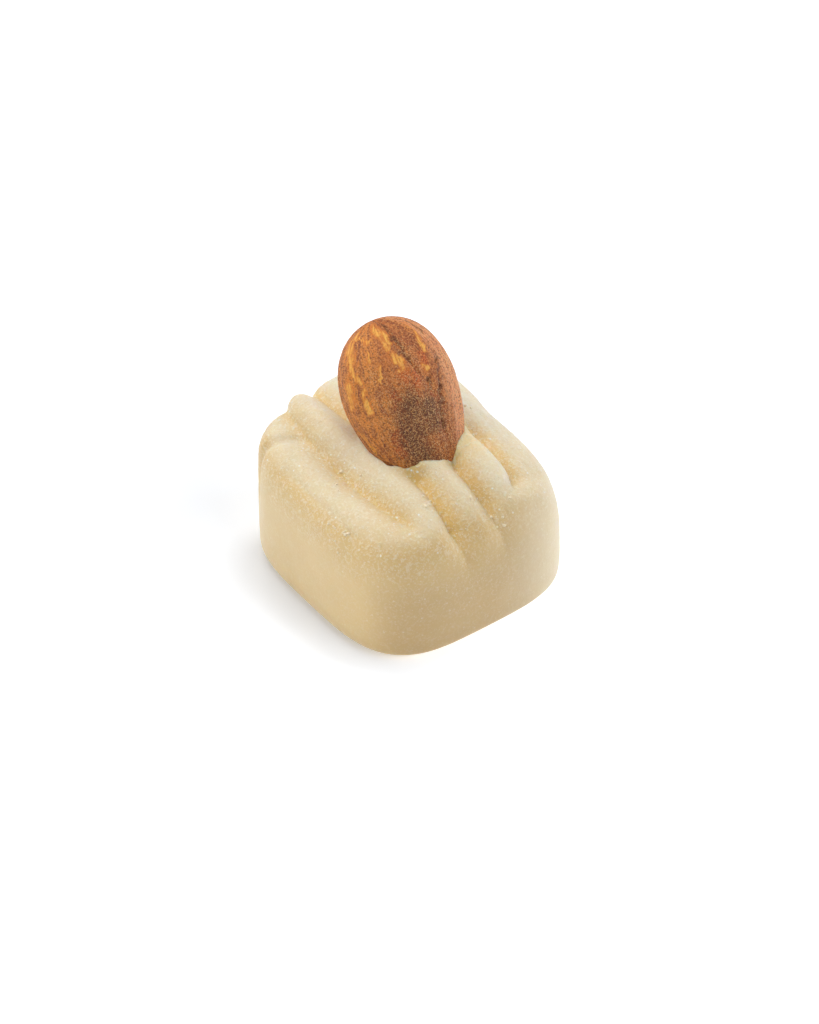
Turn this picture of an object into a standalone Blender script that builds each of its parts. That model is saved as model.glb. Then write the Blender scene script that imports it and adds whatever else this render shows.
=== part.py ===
"""Marzipan sweet: a ribbed block of marzipan with one whole almond pressed into its middle ridge.

Frame: metres, +Z up, origin at the centre of the flat base. The ridges run along Y, the grooves
between them fade out on the front wall (-Y), and the almond leans back towards +Y.
"""
import math
from collections import namedtuple

import bmesh
import bpy
from mathutils import Matrix, Vector

MM = 0.001
UP = Vector((0.0, 0.0, 1.0))
SMALLEST = 1e-9

# Block, outer sizes
HALF_WIDTH = 13.93 * MM
HALF_LENGTH = 14.85 * MM
HEIGHT = 17.67 * MM
WAIST_HEIGHT = 3.3 * MM

# Block, form: a higher exponent gives a squarer corner or shoulder
PLAN_EXPONENT = 3.54
FOOT_EXPONENT = 8.7
LEFT_SHOULDER = 9.0
RIGHT_SHOULDER = 3.4
FRONT_SHOULDER = 3.3
BACK_SHOULDER = 12.0
CROSS_DOME = 0.109
CROSS_TILT = 0.051
FOOT_OVERSHOOT = 1.03

# Block, mesh cells across (X), along (Y) and up (Z)
CELLS_ACROSS = 56
CELLS_ALONG = 32
CELLS_UP = 13

# Grooves between the ridges, from left to right, sizes in millimetres. A groove's path is
# centre + slant * t + bow * t * t, where t runs from -1 at the front wall to 1 at the back wall, and
# each of its turns shifts the path within its length of one t. The groove is depth deep in the front
# half and back_depth in the back half, each flank has its own width, and it fades out within
# front_fade of front_end.
Turn = namedtuple("Turn", "t length shift")
Groove = namedtuple(
    "Groove", "centre slant bow depth back_depth left_width right_width front_end front_fade turns"
)


def groove_in_mm(*sizes, turns=()):
    return Groove(*(size * MM for size in sizes), turns)


RIGHT_TURNS = (Turn(-0.86, 0.13, -2.0 * MM), Turn(0.05, 0.2, -1.8 * MM))
GROOVES = (
    groove_in_mm(-8.5, -0.5, 1.7, 1.7, 1.0, 3.2, 4.2, -10.0, 3.2),
    groove_in_mm(-2.9, -0.4, -0.3, 2.1, 1.3, 2.4, 3.6, -13.0, 1.4),
    groove_in_mm(2.3, 0.75, 0.85, 2.4, 1.4, 2.4, 3.0, -12.5, 2.4),
    groove_in_mm(7.6, -0.2, -0.6, 2.2, 1.2, 2.2, 4.6, -11.2, 1.2, turns=RIGHT_TURNS),
)
MIDDLE_FRONT = -3.0 * MM
MIDDLE_BACK = 6.0 * MM
VALLEY_ROUNDING = 0.2
VALLEY_SHARPNESS = 0.6
BACK_FADE_LOW = 5.0 * MM
BACK_FADE_HIGH = 12.0 * MM

# Ridges whose back half stands higher or lower than the smooth block
Ridge = namedtuple("Ridge", "centre back_lift")
RIDGES = (
    Ridge(-11.0 * MM, 0.2 * MM),
    Ridge(-6.4 * MM, 1.3 * MM),
    Ridge(0.2 * MM, -0.6 * MM),
    Ridge(5.3 * MM, -1.2 * MM),
    Ridge(10.2 * MM, -1.6 * MM),
)
RIDGE_HALF_WIDTH = 2.2 * MM
RIDGE_LIFT_LENGTH = 9.0 * MM

# Marzipan pushed together round the almond: it fills most of each groove there, and it stands higher
# or lower by a lift that runs in straight lines between the lifts at these places along X
COLLAR_CENTRE = Vector((0.8, -0.1)) * MM
COLLAR_HALF_WIDTH = 5.4 * MM
COLLAR_HALF_LENGTH = 4.4 * MM
COLLAR_REACH = 1.2 * MM
COLLAR_FILL = 0.78
COLLAR_LIFTS = (
    (-4.5 * MM, 0.2 * MM),
    (-3.2 * MM, -0.1 * MM),
    (-1.5 * MM, 0.3 * MM),
    (0.5 * MM, -0.3 * MM),
    (1.5 * MM, -0.3 * MM),
    (3.0 * MM, 0.25 * MM),
)

# Shallow creases outside the outermost ridges, and the dent across the left one's far end
CREASES = (
    groove_in_mm(-12.5, 0.0, 0.6, 0.4, 0.4, 2.4, 2.0, -9.0, 2.0),
    groove_in_mm(9.8, -0.3, -0.7, 0.18, 0.1, 1.0, 1.8, -10.2, 1.5),
)
CREASE_BACK_END = 5.0 * MM
CREASE_FADE = 2.0 * MM
CREASE_LOW = 11.0 * MM
CREASE_HIGH = 14.5 * MM
DENT_Y = 10.6 * MM
DENT_REACH = -8.6 * MM
DENT_DEPTH = 0.6 * MM
DENT_WIDTH = 0.9 * MM

# Hand-shaped unevenness: the sum of long waves, each with its length, direction and phase
Wave = namedtuple("Wave", "length direction phase")
WAVES = (
    Wave(13.0 * MM, Vector((0.5, 1.0, 0.0)), 0.0),
    Wave(9.0 * MM, Vector((1.0, 0.0, -0.4)), 1.0),
    Wave(11.0 * MM, Vector((0.0, 0.3, 1.0)), 2.0),
)
WAVE_HEIGHT = 0.027 * MM
FOOT_FADE_HEIGHT = 4.0 * MM

# Almond, sizes
ALMOND_LENGTH = 20.0 * MM
ALMOND_WIDTH = 13.2 * MM
ALMOND_THICKNESS = 8.3 * MM
ALMOND_WIDEST = 0.6
ALMOND_TIP_SHARPNESS = 1.75
ALMOND_TIP_TAPER = 0.57
ALMOND_BLUNTNESS = 2.2
ALMOND_THICKNESS_POWER = 0.9
ALMOND_RINGS = 28
ALMOND_SIDES = 44
ALMOND_VEINS = 11
ALMOND_VEIN_HEIGHT = 0.06 * MM
ALMOND_VEIN_WANDER = 2.0

# Almond, pose: its hidden tip, and how it leans back, leans aside and turns about itself
ALMOND_TIP = Vector((0.8, -4.7, 12.6)) * MM
ALMOND_LEAN_BACK = math.radians(38.0)
ALMOND_LEAN_ASIDE = math.radians(-0.3)
ALMOND_TURN = math.radians(-4.0)
ALMOND_GAP = 0.3 * MM

# Finish: colour in sRGB steps of 255, and roughness
MARZIPAN_COLOUR = (224, 206, 170)
MARZIPAN_ROUGHNESS = 0.55
ALMOND_COLOUR = (168, 108, 68)
ALMOND_ROUGHNESS = 0.6


def clear_scene():
    for item in list(bpy.data.objects):
        bpy.data.objects.remove(item, do_unlink=True)


def smooth_step(low, high, value):
    t = min(max((value - low) / (high - low), 0.0), 1.0)
    return t * t * (3.0 - 2.0 * t)


def linear_colour(steps):
    """The linear colour of an sRGB colour given in steps of 255."""
    return [((step / 255.0 + 0.055) / 1.055) ** 2.4 for step in steps]


def make_material(name, colour, roughness):
    material = bpy.data.materials.new(name)
    material.use_nodes = True
    shader = material.node_tree.nodes["Principled BSDF"]
    shader.inputs["Base Color"].default_value = (*linear_colour(colour), 1.0)
    shader.inputs["Roughness"].default_value = roughness
    shader.inputs["Metallic"].default_value = 0.0
    return material


def add_object(name, bm, material=None):
    """Turn a bmesh into a smooth-shaded object."""
    mesh = bpy.data.meshes.new(name)
    bm.normal_update()
    bm.to_mesh(mesh)
    bm.free()
    mesh.shade_smooth()
    if material:
        mesh.materials.append(material)
    item = bpy.data.objects.new(name, mesh)
    bpy.context.collection.objects.link(item)
    return item


def vertical_exponent(a, b, c):
    """Squareness of the shoulder or foot, blended between the side walls and the end walls."""
    if c <= 0.0:
        return FOOT_EXPONENT
    side = RIGHT_SHOULDER if a > 0.0 else LEFT_SHOULDER
    end = BACK_SHOULDER if b > 0.0 else FRONT_SHOULDER
    share = a * a / max(a * a + b * b, SMALLEST)
    return side * share + end * (1.0 - share)


def block_point(a, b, c):
    """The smooth block's surface point for the point (a, b, c) of a cube from -1 to 1."""
    plan = (abs(a) ** PLAN_EXPONENT + abs(b) ** PLAN_EXPONENT) ** (1.0 / PLAN_EXPONENT)
    power = vertical_exponent(a, b, c)
    reach = (plan ** power + abs(c) ** power) ** (-1.0 / power)
    x = a * reach
    y = b * reach
    z = c * reach
    if z > 0.0:
        dome = 1.0 - CROSS_DOME * x * x + CROSS_TILT * x
        height = WAIST_HEIGHT + z * (HEIGHT - WAIST_HEIGHT) * dome
    else:
        height = max(WAIST_HEIGHT * (1.0 + FOOT_OVERSHOOT * z), 0.0)
    return Vector((x * HALF_WIDTH, y * HALF_LENGTH, height))


def collar(point):
    """1 at the foot of the almond, falling to 0 away from it."""
    across = (point.x - COLLAR_CENTRE.x) / COLLAR_HALF_WIDTH
    along = (point.y - COLLAR_CENTRE.y) / COLLAR_HALF_LENGTH
    outside = (math.hypot(across, along) - 1.0) * 0.5 * (COLLAR_HALF_WIDTH + COLLAR_HALF_LENGTH)
    return math.exp(-(max(outside, 0.0) / COLLAR_REACH) ** 2)


def collar_lift(x):
    for (start, low), (end, high) in zip(COLLAR_LIFTS, COLLAR_LIFTS[1:]):
        if x < end:
            return low + (high - low) * max(x - start, 0.0) / (end - start)
    return COLLAR_LIFTS[-1][1]


def back_fade(point):
    """1 over the top and front, falling to 0 down the back wall."""
    behind = smooth_step(0.0, MIDDLE_BACK, point.y)
    return 1.0 - behind * (1.0 - smooth_step(BACK_FADE_LOW, BACK_FADE_HIGH, point.z))


def groove_depth(groove, point):
    """How deep a groove is at a point of the block."""
    t = point.y / HALF_LENGTH
    path = groove.centre + groove.slant * t + groove.bow * t * t
    path += sum(turn.shift * math.exp(-((t - turn.t) / turn.length) ** 2) for turn in groove.turns)
    width = groove.left_width if point.x < path else groove.right_width
    offset = (point.x - path) / width
    inside = max(1.0 + VALLEY_ROUNDING - math.hypot(offset, VALLEY_ROUNDING), 0.0)
    valley = 1.0 - (1.0 - inside * inside) ** VALLEY_SHARPNESS
    middle = smooth_step(MIDDLE_FRONT, MIDDLE_BACK, point.y)
    depth = groove.depth + (groove.back_depth - groove.depth) * middle
    front = smooth_step(groove.front_end - groove.front_fade, groove.front_end + groove.front_fade, point.y)
    return depth * valley * front * back_fade(point)


def creases_depth(point):
    along = 1.0 - smooth_step(CREASE_BACK_END - CREASE_FADE, CREASE_BACK_END + CREASE_FADE, point.y)
    depth = sum(groove_depth(crease, point) for crease in CREASES)
    return depth * along * smooth_step(CREASE_LOW, CREASE_HIGH, point.z)


def dent_depth(point):
    """The dent that parts the far end of the outermost ridge from the rest of it."""
    offset = (point.y - DENT_Y) / DENT_WIDTH
    across = 1.0 - smooth_step(DENT_REACH - DENT_WIDTH, DENT_REACH + DENT_WIDTH, point.x)
    high = smooth_step(BACK_FADE_LOW, BACK_FADE_HIGH, point.z)
    return DENT_DEPTH * math.exp(-offset * offset) * across * high


def ridge_lift(point):
    """How much higher or lower the ridges' back halves are than the smooth block."""
    reach = smooth_step(0.0, RIDGE_LIFT_LENGTH, point.y) * smooth_step(BACK_FADE_LOW, BACK_FADE_HIGH, point.z)
    lift = 0.0
    for ridge in RIDGES:
        offset = (point.x - ridge.centre) / RIDGE_HALF_WIDTH
        lift += ridge.back_lift * math.exp(-offset * offset)
    return lift * reach


def unevenness(point):
    angles = (math.tau * point.dot(wave.direction) / wave.length + wave.phase for wave in WAVES)
    return WAVE_HEIGHT * sum(math.sin(angle) for angle in angles)


def relief(point):
    """How far the modelled surface stands out of the smooth block."""
    pushed = collar(point)
    grooves = sum(groove_depth(groove, point) for groove in GROOVES)
    height = unevenness(point) + collar_lift(point.x) * pushed
    height -= grooves * (1.0 - COLLAR_FILL * pushed)
    height -= creases_depth(point) + dent_depth(point)
    return height * smooth_step(0.0, FOOT_FADE_HEIGHT, point.z)


def add_cube_wall(bm, corner, edge_u, edge_v, cells_u, cells_v):
    """One gridded wall of the cube from -1 to 1."""
    rows = []
    for i in range(cells_u + 1):
        start = corner + edge_u * (i / cells_u)
        rows.append([bm.verts.new(start + edge_v * (j / cells_v)) for j in range(cells_v + 1)])
    for i in range(cells_u):
        for j in range(cells_v):
            bm.faces.new((rows[i][j], rows[i + 1][j], rows[i + 1][j + 1], rows[i][j + 1]))


def gridded_cube():
    bm = bmesh.new()
    across = Vector((2.0, 0.0, 0.0))
    along = Vector((0.0, 2.0, 0.0))
    up = Vector((0.0, 0.0, 2.0))
    low = Vector((-1.0, -1.0, -1.0))
    high = Vector((1.0, 1.0, 1.0))
    add_cube_wall(bm, low, along, across, CELLS_ALONG, CELLS_ACROSS)
    add_cube_wall(bm, low, across, up, CELLS_ACROSS, CELLS_UP)
    add_cube_wall(bm, low, up, along, CELLS_UP, CELLS_ALONG)
    add_cube_wall(bm, high, -across, -along, CELLS_ACROSS, CELLS_ALONG)
    add_cube_wall(bm, high, -up, -across, CELLS_UP, CELLS_ACROSS)
    add_cube_wall(bm, high, -along, -up, CELLS_ALONG, CELLS_UP)
    bmesh.ops.remove_doubles(bm, verts=bm.verts, dist=0.5 / max(CELLS_ACROSS, CELLS_ALONG, CELLS_UP))
    return bm


def make_block(material):
    bm = gridded_cube()
    for vert in bm.verts:
        vert.co = block_point(*vert.co)
    bm.normal_update()
    moves = [vert.normal * relief(vert.co) + UP * ridge_lift(vert.co) for vert in bm.verts]
    for vert, move in zip(bm.verts, moves):
        vert.co += move
    base = [face for face in bm.faces if all(vert.co.z == 0.0 for vert in face.verts)]
    bmesh.ops.dissolve_faces(bm, faces=base)
    return add_object("marzipan", bm, material)


def almond_profile(s):
    """Width of the almond as a share of its widest, for s from 0 at the tip to 1 at the blunt end."""
    if s < ALMOND_WIDEST:
        t = 1.0 - s / ALMOND_WIDEST
        return (1.0 - t ** ALMOND_TIP_SHARPNESS) ** ALMOND_TIP_TAPER
    t = (s - ALMOND_WIDEST) / (1.0 - ALMOND_WIDEST)
    return math.sqrt(1.0 - t ** ALMOND_BLUNTNESS)


def almond_ring(s, gap):
    """One cross-section of the almond, with its long veins, grown by gap."""
    share = almond_profile(s)
    half_width = 0.5 * ALMOND_WIDTH * share
    half_thickness = 0.5 * ALMOND_THICKNESS * share ** ALMOND_THICKNESS_POWER
    ring = []
    for k in range(ALMOND_SIDES):
        angle = math.tau * k / ALMOND_SIDES
        turn = ALMOND_VEINS * angle + ALMOND_VEIN_WANDER * math.sin(angle)
        vein = ALMOND_VEIN_HEIGHT * share * math.cos(turn)
        x = (half_width + vein + gap) * math.cos(angle)
        y = (half_thickness + vein + gap) * math.sin(angle)
        ring.append(Vector((x, y, s * ALMOND_LENGTH)))
    return ring


def almond_bmesh(gap=0.0):
    """The almond along +Z with its tip at the origin, grown on all sides by gap."""
    bm = bmesh.new()
    rings = []
    for i in range(1, ALMOND_RINGS):
        s = 0.5 - 0.5 * math.cos(math.pi * i / ALMOND_RINGS)
        rings.append([bm.verts.new(co) for co in almond_ring(s, gap)])
    tip = bm.verts.new((0.0, 0.0, -gap))
    top = bm.verts.new((0.0, 0.0, ALMOND_LENGTH + gap))
    for k in range(ALMOND_SIDES):
        after = (k + 1) % ALMOND_SIDES
        bm.faces.new((tip, rings[0][after], rings[0][k]))
        bm.faces.new((top, rings[-1][k], rings[-1][after]))
        for low, high in zip(rings, rings[1:]):
            bm.faces.new((low[k], low[after], high[after], high[k]))
    return bm


def place_almond(item):
    lean = Matrix.Rotation(-ALMOND_LEAN_BACK, 4, "X") @ Matrix.Rotation(ALMOND_LEAN_ASIDE, 4, "Y")
    turn = Matrix.Rotation(ALMOND_TURN, 4, "Z")
    item.matrix_world = Matrix.Translation(ALMOND_TIP) @ lean @ turn


def make_almond(material):
    almond = add_object("almond", almond_bmesh(), material)
    place_almond(almond)
    return almond


def press_pocket(block):
    """Cut the pocket that the almond sits in, a gap wider than the almond."""
    cutter = add_object("pocket_cutter", almond_bmesh(ALMOND_GAP))
    place_almond(cutter)
    cutter.hide_render = True
    cutter.display_type = "WIRE"
    cut = block.modifiers.new("pocket", "BOOLEAN")
    cut.operation = "DIFFERENCE"
    cut.solver = "EXACT"
    cut.object = cutter


def main():
    clear_scene()
    block = make_block(make_material("marzipan", MARZIPAN_COLOUR, MARZIPAN_ROUGHNESS))
    make_almond(make_material("almond_skin", ALMOND_COLOUR, ALMOND_ROUGHNESS))
    press_pocket(block)


main()
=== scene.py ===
"""Looks of the marzipan sweet: a grainy ribbed block, its veined almond and a few crumbs, in soft light.

The sweet's lengths are in millimetres, and become metres when a mesh is made. The camera, the floor
and the lights are in metres. +Z is up, the origin is the centre of the block's flat base, the ridges
run along Y and the front wall faces -Y.
"""
import math
from collections import namedtuple

import bmesh
import bpy
import numpy as np
from mathutils import Matrix, Vector, noise
from mathutils.bvhtree import BVHTree


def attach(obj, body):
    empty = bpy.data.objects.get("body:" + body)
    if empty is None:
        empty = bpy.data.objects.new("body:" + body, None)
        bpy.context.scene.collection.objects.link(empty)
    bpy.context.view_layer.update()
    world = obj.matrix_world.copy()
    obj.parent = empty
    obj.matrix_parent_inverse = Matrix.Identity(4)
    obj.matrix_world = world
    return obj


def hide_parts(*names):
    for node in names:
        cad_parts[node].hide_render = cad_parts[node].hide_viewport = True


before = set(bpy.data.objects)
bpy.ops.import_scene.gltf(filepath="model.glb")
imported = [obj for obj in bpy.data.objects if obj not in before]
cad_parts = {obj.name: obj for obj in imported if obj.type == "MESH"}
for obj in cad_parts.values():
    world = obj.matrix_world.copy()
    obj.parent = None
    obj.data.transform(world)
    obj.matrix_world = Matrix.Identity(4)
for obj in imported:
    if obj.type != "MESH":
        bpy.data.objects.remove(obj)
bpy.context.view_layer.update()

MM = 0.001
UP = np.array([0.0, 0.0, 1.0])
SMALLEST = 1e-9

# Block, as in the CAD
HALF_WIDTH = 13.93
HALF_LENGTH = 14.85
HEIGHT = 17.67
WAIST_HEIGHT = 3.3
PLAN_EXPONENT = 3.54
FOOT_EXPONENT = 8.7
LEFT_SHOULDER = 9.0
RIGHT_SHOULDER = 3.4
FRONT_SHOULDER = 3.3
BACK_SHOULDER = 12.0
CROSS_DOME = 0.109
CROSS_TILT = 0.051
FOOT_OVERSHOOT = 1.03

# Block, mesh cells
CELLS_ACROSS = 170
CELLS_ALONG = 160
CELLS_BELOW_WAIST = 14
CELLS_ABOVE_WAIST = 70

# Grooves from left to right. A groove's path is centre + slant * t + bow * t * t, where t runs from
# -1 at the front wall to 1 at the back wall, and each of its turns shifts the path near one t. Its
# depth changes from depth to back_depth on the way, and it fades in round y = front_end.
Turn = namedtuple("Turn", "t length shift")
Groove = namedtuple(
    "Groove",
    "centre slant bow depth back_depth left_width right_width front_end front_fade turns",
    defaults=((),),
)
GROOVES = (
    Groove(-8.5, -0.5, 1.7, 1.7, 1.25, 3.2, 4.2, -10.6, 2.8),
    Groove(-2.9, -0.4, -0.3, 2.1, 1.3, 2.4, 3.6, -13.7, 1.2),
    Groove(2.3, 0.75, 0.85, 2.4, 1.4, 2.4, 3.0, -13.1, 2.0),
    Groove(7.6, -0.2, -0.6, 2.2, 1.2, 2.2, 4.6, -11.2, 1.2, (
        Turn(-0.86, 0.13, -2.0),
        Turn(0.05, 0.2, -1.8),
    )),
)
MIDDLE_FRONT = -3.0
MIDDLE_BACK = 6.0
VALLEY_ROUNDING = 0.2
VALLEY_SHARPNESS = 0.6
BACK_FADE_LOW = 5.0
BACK_FADE_HIGH = 12.0

Ridge = namedtuple("Ridge", "centre back_lift")
RIDGES = (Ridge(-11.0, 0.2), Ridge(-6.4, 1.3), Ridge(0.2, -0.6), Ridge(5.3, -1.2), Ridge(10.2, -1.6))
RIDGE_HALF_WIDTH = 2.2
RIDGE_LIFT_LENGTH = 9.0

# The paste round the almond's foot fills the grooves, and is lifted by (x, lift) pairs
COLLAR_CENTRE = (0.8, -0.1)
COLLAR_HALF_WIDTH = 5.4
COLLAR_HALF_LENGTH = 4.4
COLLAR_REACH = 0.9
COLLAR_FILL = 0.78
COLLAR_LIFTS = np.array([(-4.5, 0.2), (-3.2, -0.1), (-1.5, 0.3), (0.5, -0.3), (1.5, -0.3), (3.0, 0.25)])

# Creases outside the first and the last ridge, and the dent across the far end of the first
CREASES = (
    Groove(-12.5, 0.0, 0.6, 0.4, 0.4, 2.4, 2.0, -9.0, 2.0),
    Groove(9.8, -0.3, -0.7, 0.18, 0.1, 1.0, 1.8, -10.2, 1.5),
)
CREASE_BACK_END = 5.0
CREASE_BACK_FADE = 2.0
CREASE_LOW = 11.0
CREASE_HIGH = 14.5
DENT_X = -12.2
DENT_Y = 10.6
DENT_SLOPE = -0.77
DENT_REACH = -8.6
DENT_DEPTH = 0.6
DENT_WIDTH = 0.9

# Slow waves that keep the whole surface from being even
Wave = namedtuple("Wave", "length direction phase")
WAVES = (
    Wave(13.0, (0.5, 1.0, 0.0), 0.0),
    Wave(9.0, (1.0, 0.0, -0.4), 1.0),
    Wave(11.0, (0.0, 0.3, 1.0), 2.0),
)
WAVE_HEIGHT = 0.027
FOOT_FADE_HEIGHT = 4.0

# Paste: soft lumps all over, and a grain that is strong on the ridges and weak on the walls
LUMP_SIZE = 2.2
LUMP_HEIGHT = 0.045
GRAIN_SIZE = 0.6
GRAIN_HEIGHT = 0.045
FINER_GRAIN_SHARE = 0.6
WALL_GRAIN = 0.22
FRONT_GRAIN = 0.3
FRONT_GRAIN_FACING = (0.3, 0.8)
GROOVE_GRAIN = 0.35
GRAIN_LOW = 9.0
GRAIN_HIGH = 15.0
GRAIN_EDGE_SIZE = 5.0
GRAIN_EDGE_SWAY = 1.5
WRINKLE_SIZE = (0.4, 0.4, 1.8)
WRINKLE_LINE = 0.22
WRINKLE_DEPTH = 0.08
WRINKLES_CENTRE = (1.5, -12.6, 13.5)
WRINKLES_REACH = (4.5, 2.2, 2.2)
WRINKLES_FULL = 0.5

# Where the paste changes colour. A pair says where the change begins and where it is full, in
# millimetres or, for facing, as a share of a normal that points straight that way.
GROOVE_SHARE_PER_MM = 0.7
# Painted shade: how strongly each groove is painted golden, and how the shade spreads over it
GROOVE_SHADE_SHARES = (0.55, 0.85, 0.7, 0.5)
GROOVE_SHADE_SPREAD = 0.75
# Painted highlight on crests that face up and on the right side, less at the near corner and the left end
CROWN_FACING = (0.55, 0.95)
CROWN_FRONT_LOSS = 0.45
CROWN_LEFT_LOSS = 0.35
NEAR_CORNER_LEFT = (6.0, 8.5)
NEAR_CORNER_FRONT = (3.0, 10.0)
LEFT_END = (9.8, 11.8)
RIGHT_END = (-2.0, 12.0)
RIGHT_SHARE = 0.6
RIGHT_GROOVE_LOSS = 0.6
# Painted shade: the front wall, where less light falls, is browner low down but for its right end
BROWN_FACING = (0.2, 0.8)
BROWN_HEIGHTS = (7.0, 14.0)
BROWN_RIGHT_END = (4.0, 12.0)
# Painted glow in the thin paste at the almond's foot
GLOW_CENTRE = (5.0, -3.5)
GLOW_REACH = 3.0
GLOW_SHARE = 0.95
GLOW_ALL_OVER = 0.7
GLOW_IN_GROOVES = 0.3

# Crumbs that lie on the paste: where each patch of them is, how far it reaches and how many it has
CrumbPatch = namedtuple("CrumbPatch", "centre reach count")
CRUMB_PATCHES = (
    CrumbPatch((-12.6, -4.5, 14.2), 2.0, 8),
    CrumbPatch((-8.0, 0.0, 16.5), 3.5, 5),
    CrumbPatch((-3.0, -9.0, 16.5), 3.0, 5),
    CrumbPatch((3.0, -12.0, 14.0), 2.5, 5),
    CrumbPatch((8.0, 2.0, 17.0), 3.0, 5),
)
CRUMB_SMALLEST = 0.1
CRUMB_LARGEST = 0.18
CRUMB_SUNK = 0.75
CRUMB_STRETCH = (0.7, 1.5)
CRUMB_BUMP_SIZE = 0.9
CRUMB_BUMP_HEIGHT = 0.35
CRUMB_NOISE_SPAN = 50.0
CRUMB_SEED = 7

# Almond, as in the CAD. Its tip is pressed into the block.
ALMOND_LENGTH = 20.0
ALMOND_WIDTH = 13.2
ALMOND_THICKNESS = 8.3
ALMOND_WIDEST = 0.6
ALMOND_TIP_SHARPNESS = 1.75
ALMOND_TIP_TAPER = 0.57
ALMOND_BLUNTNESS = 2.2
ALMOND_THICKNESS_POWER = 0.9
ALMOND_TIP = (0.8, -4.7, 12.6)
ALMOND_LEAN_BACK = math.radians(38.0)
ALMOND_LEAN_ASIDE = math.radians(-0.3)
ALMOND_TURN = math.radians(-4.0)

# Almond, mesh cells
ALMOND_RINGS = 240
ALMOND_SIDES = 380
SEAT_RINGS = 120
SEAT_SIDES = 180

# Skin: veins and furrows along it, pores all over, and broken creases and pits at their marks
VEINS = 11
VEIN_HEIGHT = 0.06
VEIN_WANDER = 2.0
FURROW_SIZE = 0.9
FURROW_HEIGHT = 0.1
FURROW_STRETCH = 0.13
FINER_FURROW_SIZE = 0.45 * FURROW_SIZE
FINER_FURROW_SHARE = 0.5
PORE_SIZE = 0.3
PORE_HEIGHT = 0.02
CREASE_INTO_SKIN = 0.22
CREASE_BREAK_SIZE = 0.6
CREASE_BREAK_SHARE = 0.6
PIT_INTO_SKIN = 0.25
PIT_SIZE = 0.55
PIT_EDGE = (-0.1, 0.4)

# The almond's seat in the block is cut a little small, but loose where the photo shows a gap
SEAT_OVERLAP = 0.04
SEAT_SLACK = 0.3

# Marks on the almond's skin. Each runs from (angle, s) to (end_angle, end_s), in degrees round the
# almond and as a share of its length from tip to blunt end. Angle 180 is its left edge, 270 its front.
Mark = namedtuple("Mark", "angle s end_angle end_s width")
RUBBED_MARKS = (
    Mark(194, 0.93, 206, 0.86, 0.85),
    Mark(203, 0.96, 236, 0.93, 0.45),
    Mark(252, 0.96, 262, 0.915, 0.5),
    Mark(262, 0.915, 264, 0.87, 0.55),
    Mark(259, 0.88, 259, 0.84, 0.3),
    Mark(261, 0.80, 263, 0.76, 0.5),
    Mark(266, 0.79, 266, 0.72, 0.5),
    Mark(310, 0.92, 303, 0.84, 0.3),
    Mark(303, 0.84, 298, 0.75, 0.4),
    Mark(234, 0.87, 234, 0.82, 0.25),
    Mark(243, 0.78, 241, 0.69, 0.22),
    Mark(206, 0.83, 216, 0.74, 0.45),
    Mark(199, 0.73, 197, 0.63, 0.7),
    Mark(218, 0.69, 217, 0.56, 0.4),
    Mark(289, 0.68, 290, 0.67, 0.35),
    Mark(187, 0.48, 198, 0.33, 0.14),
)
RED_MARKS = (
    Mark(292, 0.75, 290, 0.70, 0.5),
    Mark(276, 0.68, 273, 0.62, 0.5),
    Mark(271, 0.58, 268, 0.51, 0.3),
    Mark(249, 0.62, 244, 0.54, 0.3),
    Mark(286, 0.53, 286, 0.50, 0.3),
    Mark(266, 0.74, 264, 0.66, 0.5),
    Mark(235, 0.40, 228, 0.30, 0.8),
)
CREASE_MARKS = (
    Mark(277, 0.985, 273, 0.885, 0.2),
    Mark(273, 0.885, 274, 0.78, 0.32),
    Mark(274, 0.78, 279, 0.66, 0.18),
)
PIT_MARKS = (
    Mark(308, 0.72, 300, 0.60, 0.26),
    Mark(300, 0.60, 292, 0.46, 0.26),
    Mark(292, 0.46, 287, 0.31, 0.26),
    Mark(287, 0.62, 285, 0.56, 0.26),
    Mark(322, 0.93, 318, 0.84, 0.15),
)
STAIN_MARKS = (
    Mark(258, 0.53, 254, 0.38, 1.7),
    Mark(277, 0.49, 272, 0.38, 1.2),
    Mark(244, 0.38, 250, 0.22, 1.6),
)
DUST_MARKS = (
    Mark(256, 0.56, 252, 0.20, 3.4),
    Mark(280, 0.50, 276, 0.20, 2.4),
    Mark(234, 0.76, 236, 0.72, 0.8),
    Mark(277, 0.84, 281, 0.70, 0.6),
    Mark(262, 0.68, 270, 0.64, 0.8),
)
PEEL_MARKS = (Mark(182.5, 0.46, 189, 0.35, 0.28),)
# The gap marks are painted shade: a dark line where the almond stands loose of its seat
GAP_SHADE_MARKS = (Mark(189, 0.345, 203, 0.25, 0.18), Mark(181, 0.485, 182, 0.465, 0.18))
SLACK_MARKS = (Mark(181, 0.49, 200, 0.25, 0.4), Mark(292, 0.16, 300, 0.20, 0.3))
# Their edges waver by noise: the size of its lumps, and how far it moves a point, as a share of the
# almond's length or in radians round it
Waver = namedtuple("Waver", "size reach")
WAVER_ALONG = Waver(0.9, 0.02)
WAVER_ROUND = Waver(0.8, 0.09)
FRAY_ROUND = Waver(0.3, 0.05)
# The angles where the orange left side and the pinkish right side begin, are full, fade and end
# The orange left side is painted light: lighter and more orange where light falls
LIT_LEFT_SIDE = (110.0, 165.0, 225.0, 262.0)
RIGHT_SIDE = (295.0, 318.0, 330.0, 352.0)

# Colours of the paste, in sRGB steps of 255
WALL_DARK = (224, 194, 135)
WALL_LIGHT = (231, 202, 144)
# Painted shade, low on the front wall
FRONT_SHADE_BROWN = (212, 181, 126)
# Painted highlight on the crests and the right side
PAINTED_HIGHLIGHT_CREAM = (236, 225, 196)
# Painted shade, golden, in the grooves
GROOVE_SHADE_GOLDEN = (233, 200, 124)
# Painted glow at the almond's foot
PAINTED_GLOW = (255, 224, 158)
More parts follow.
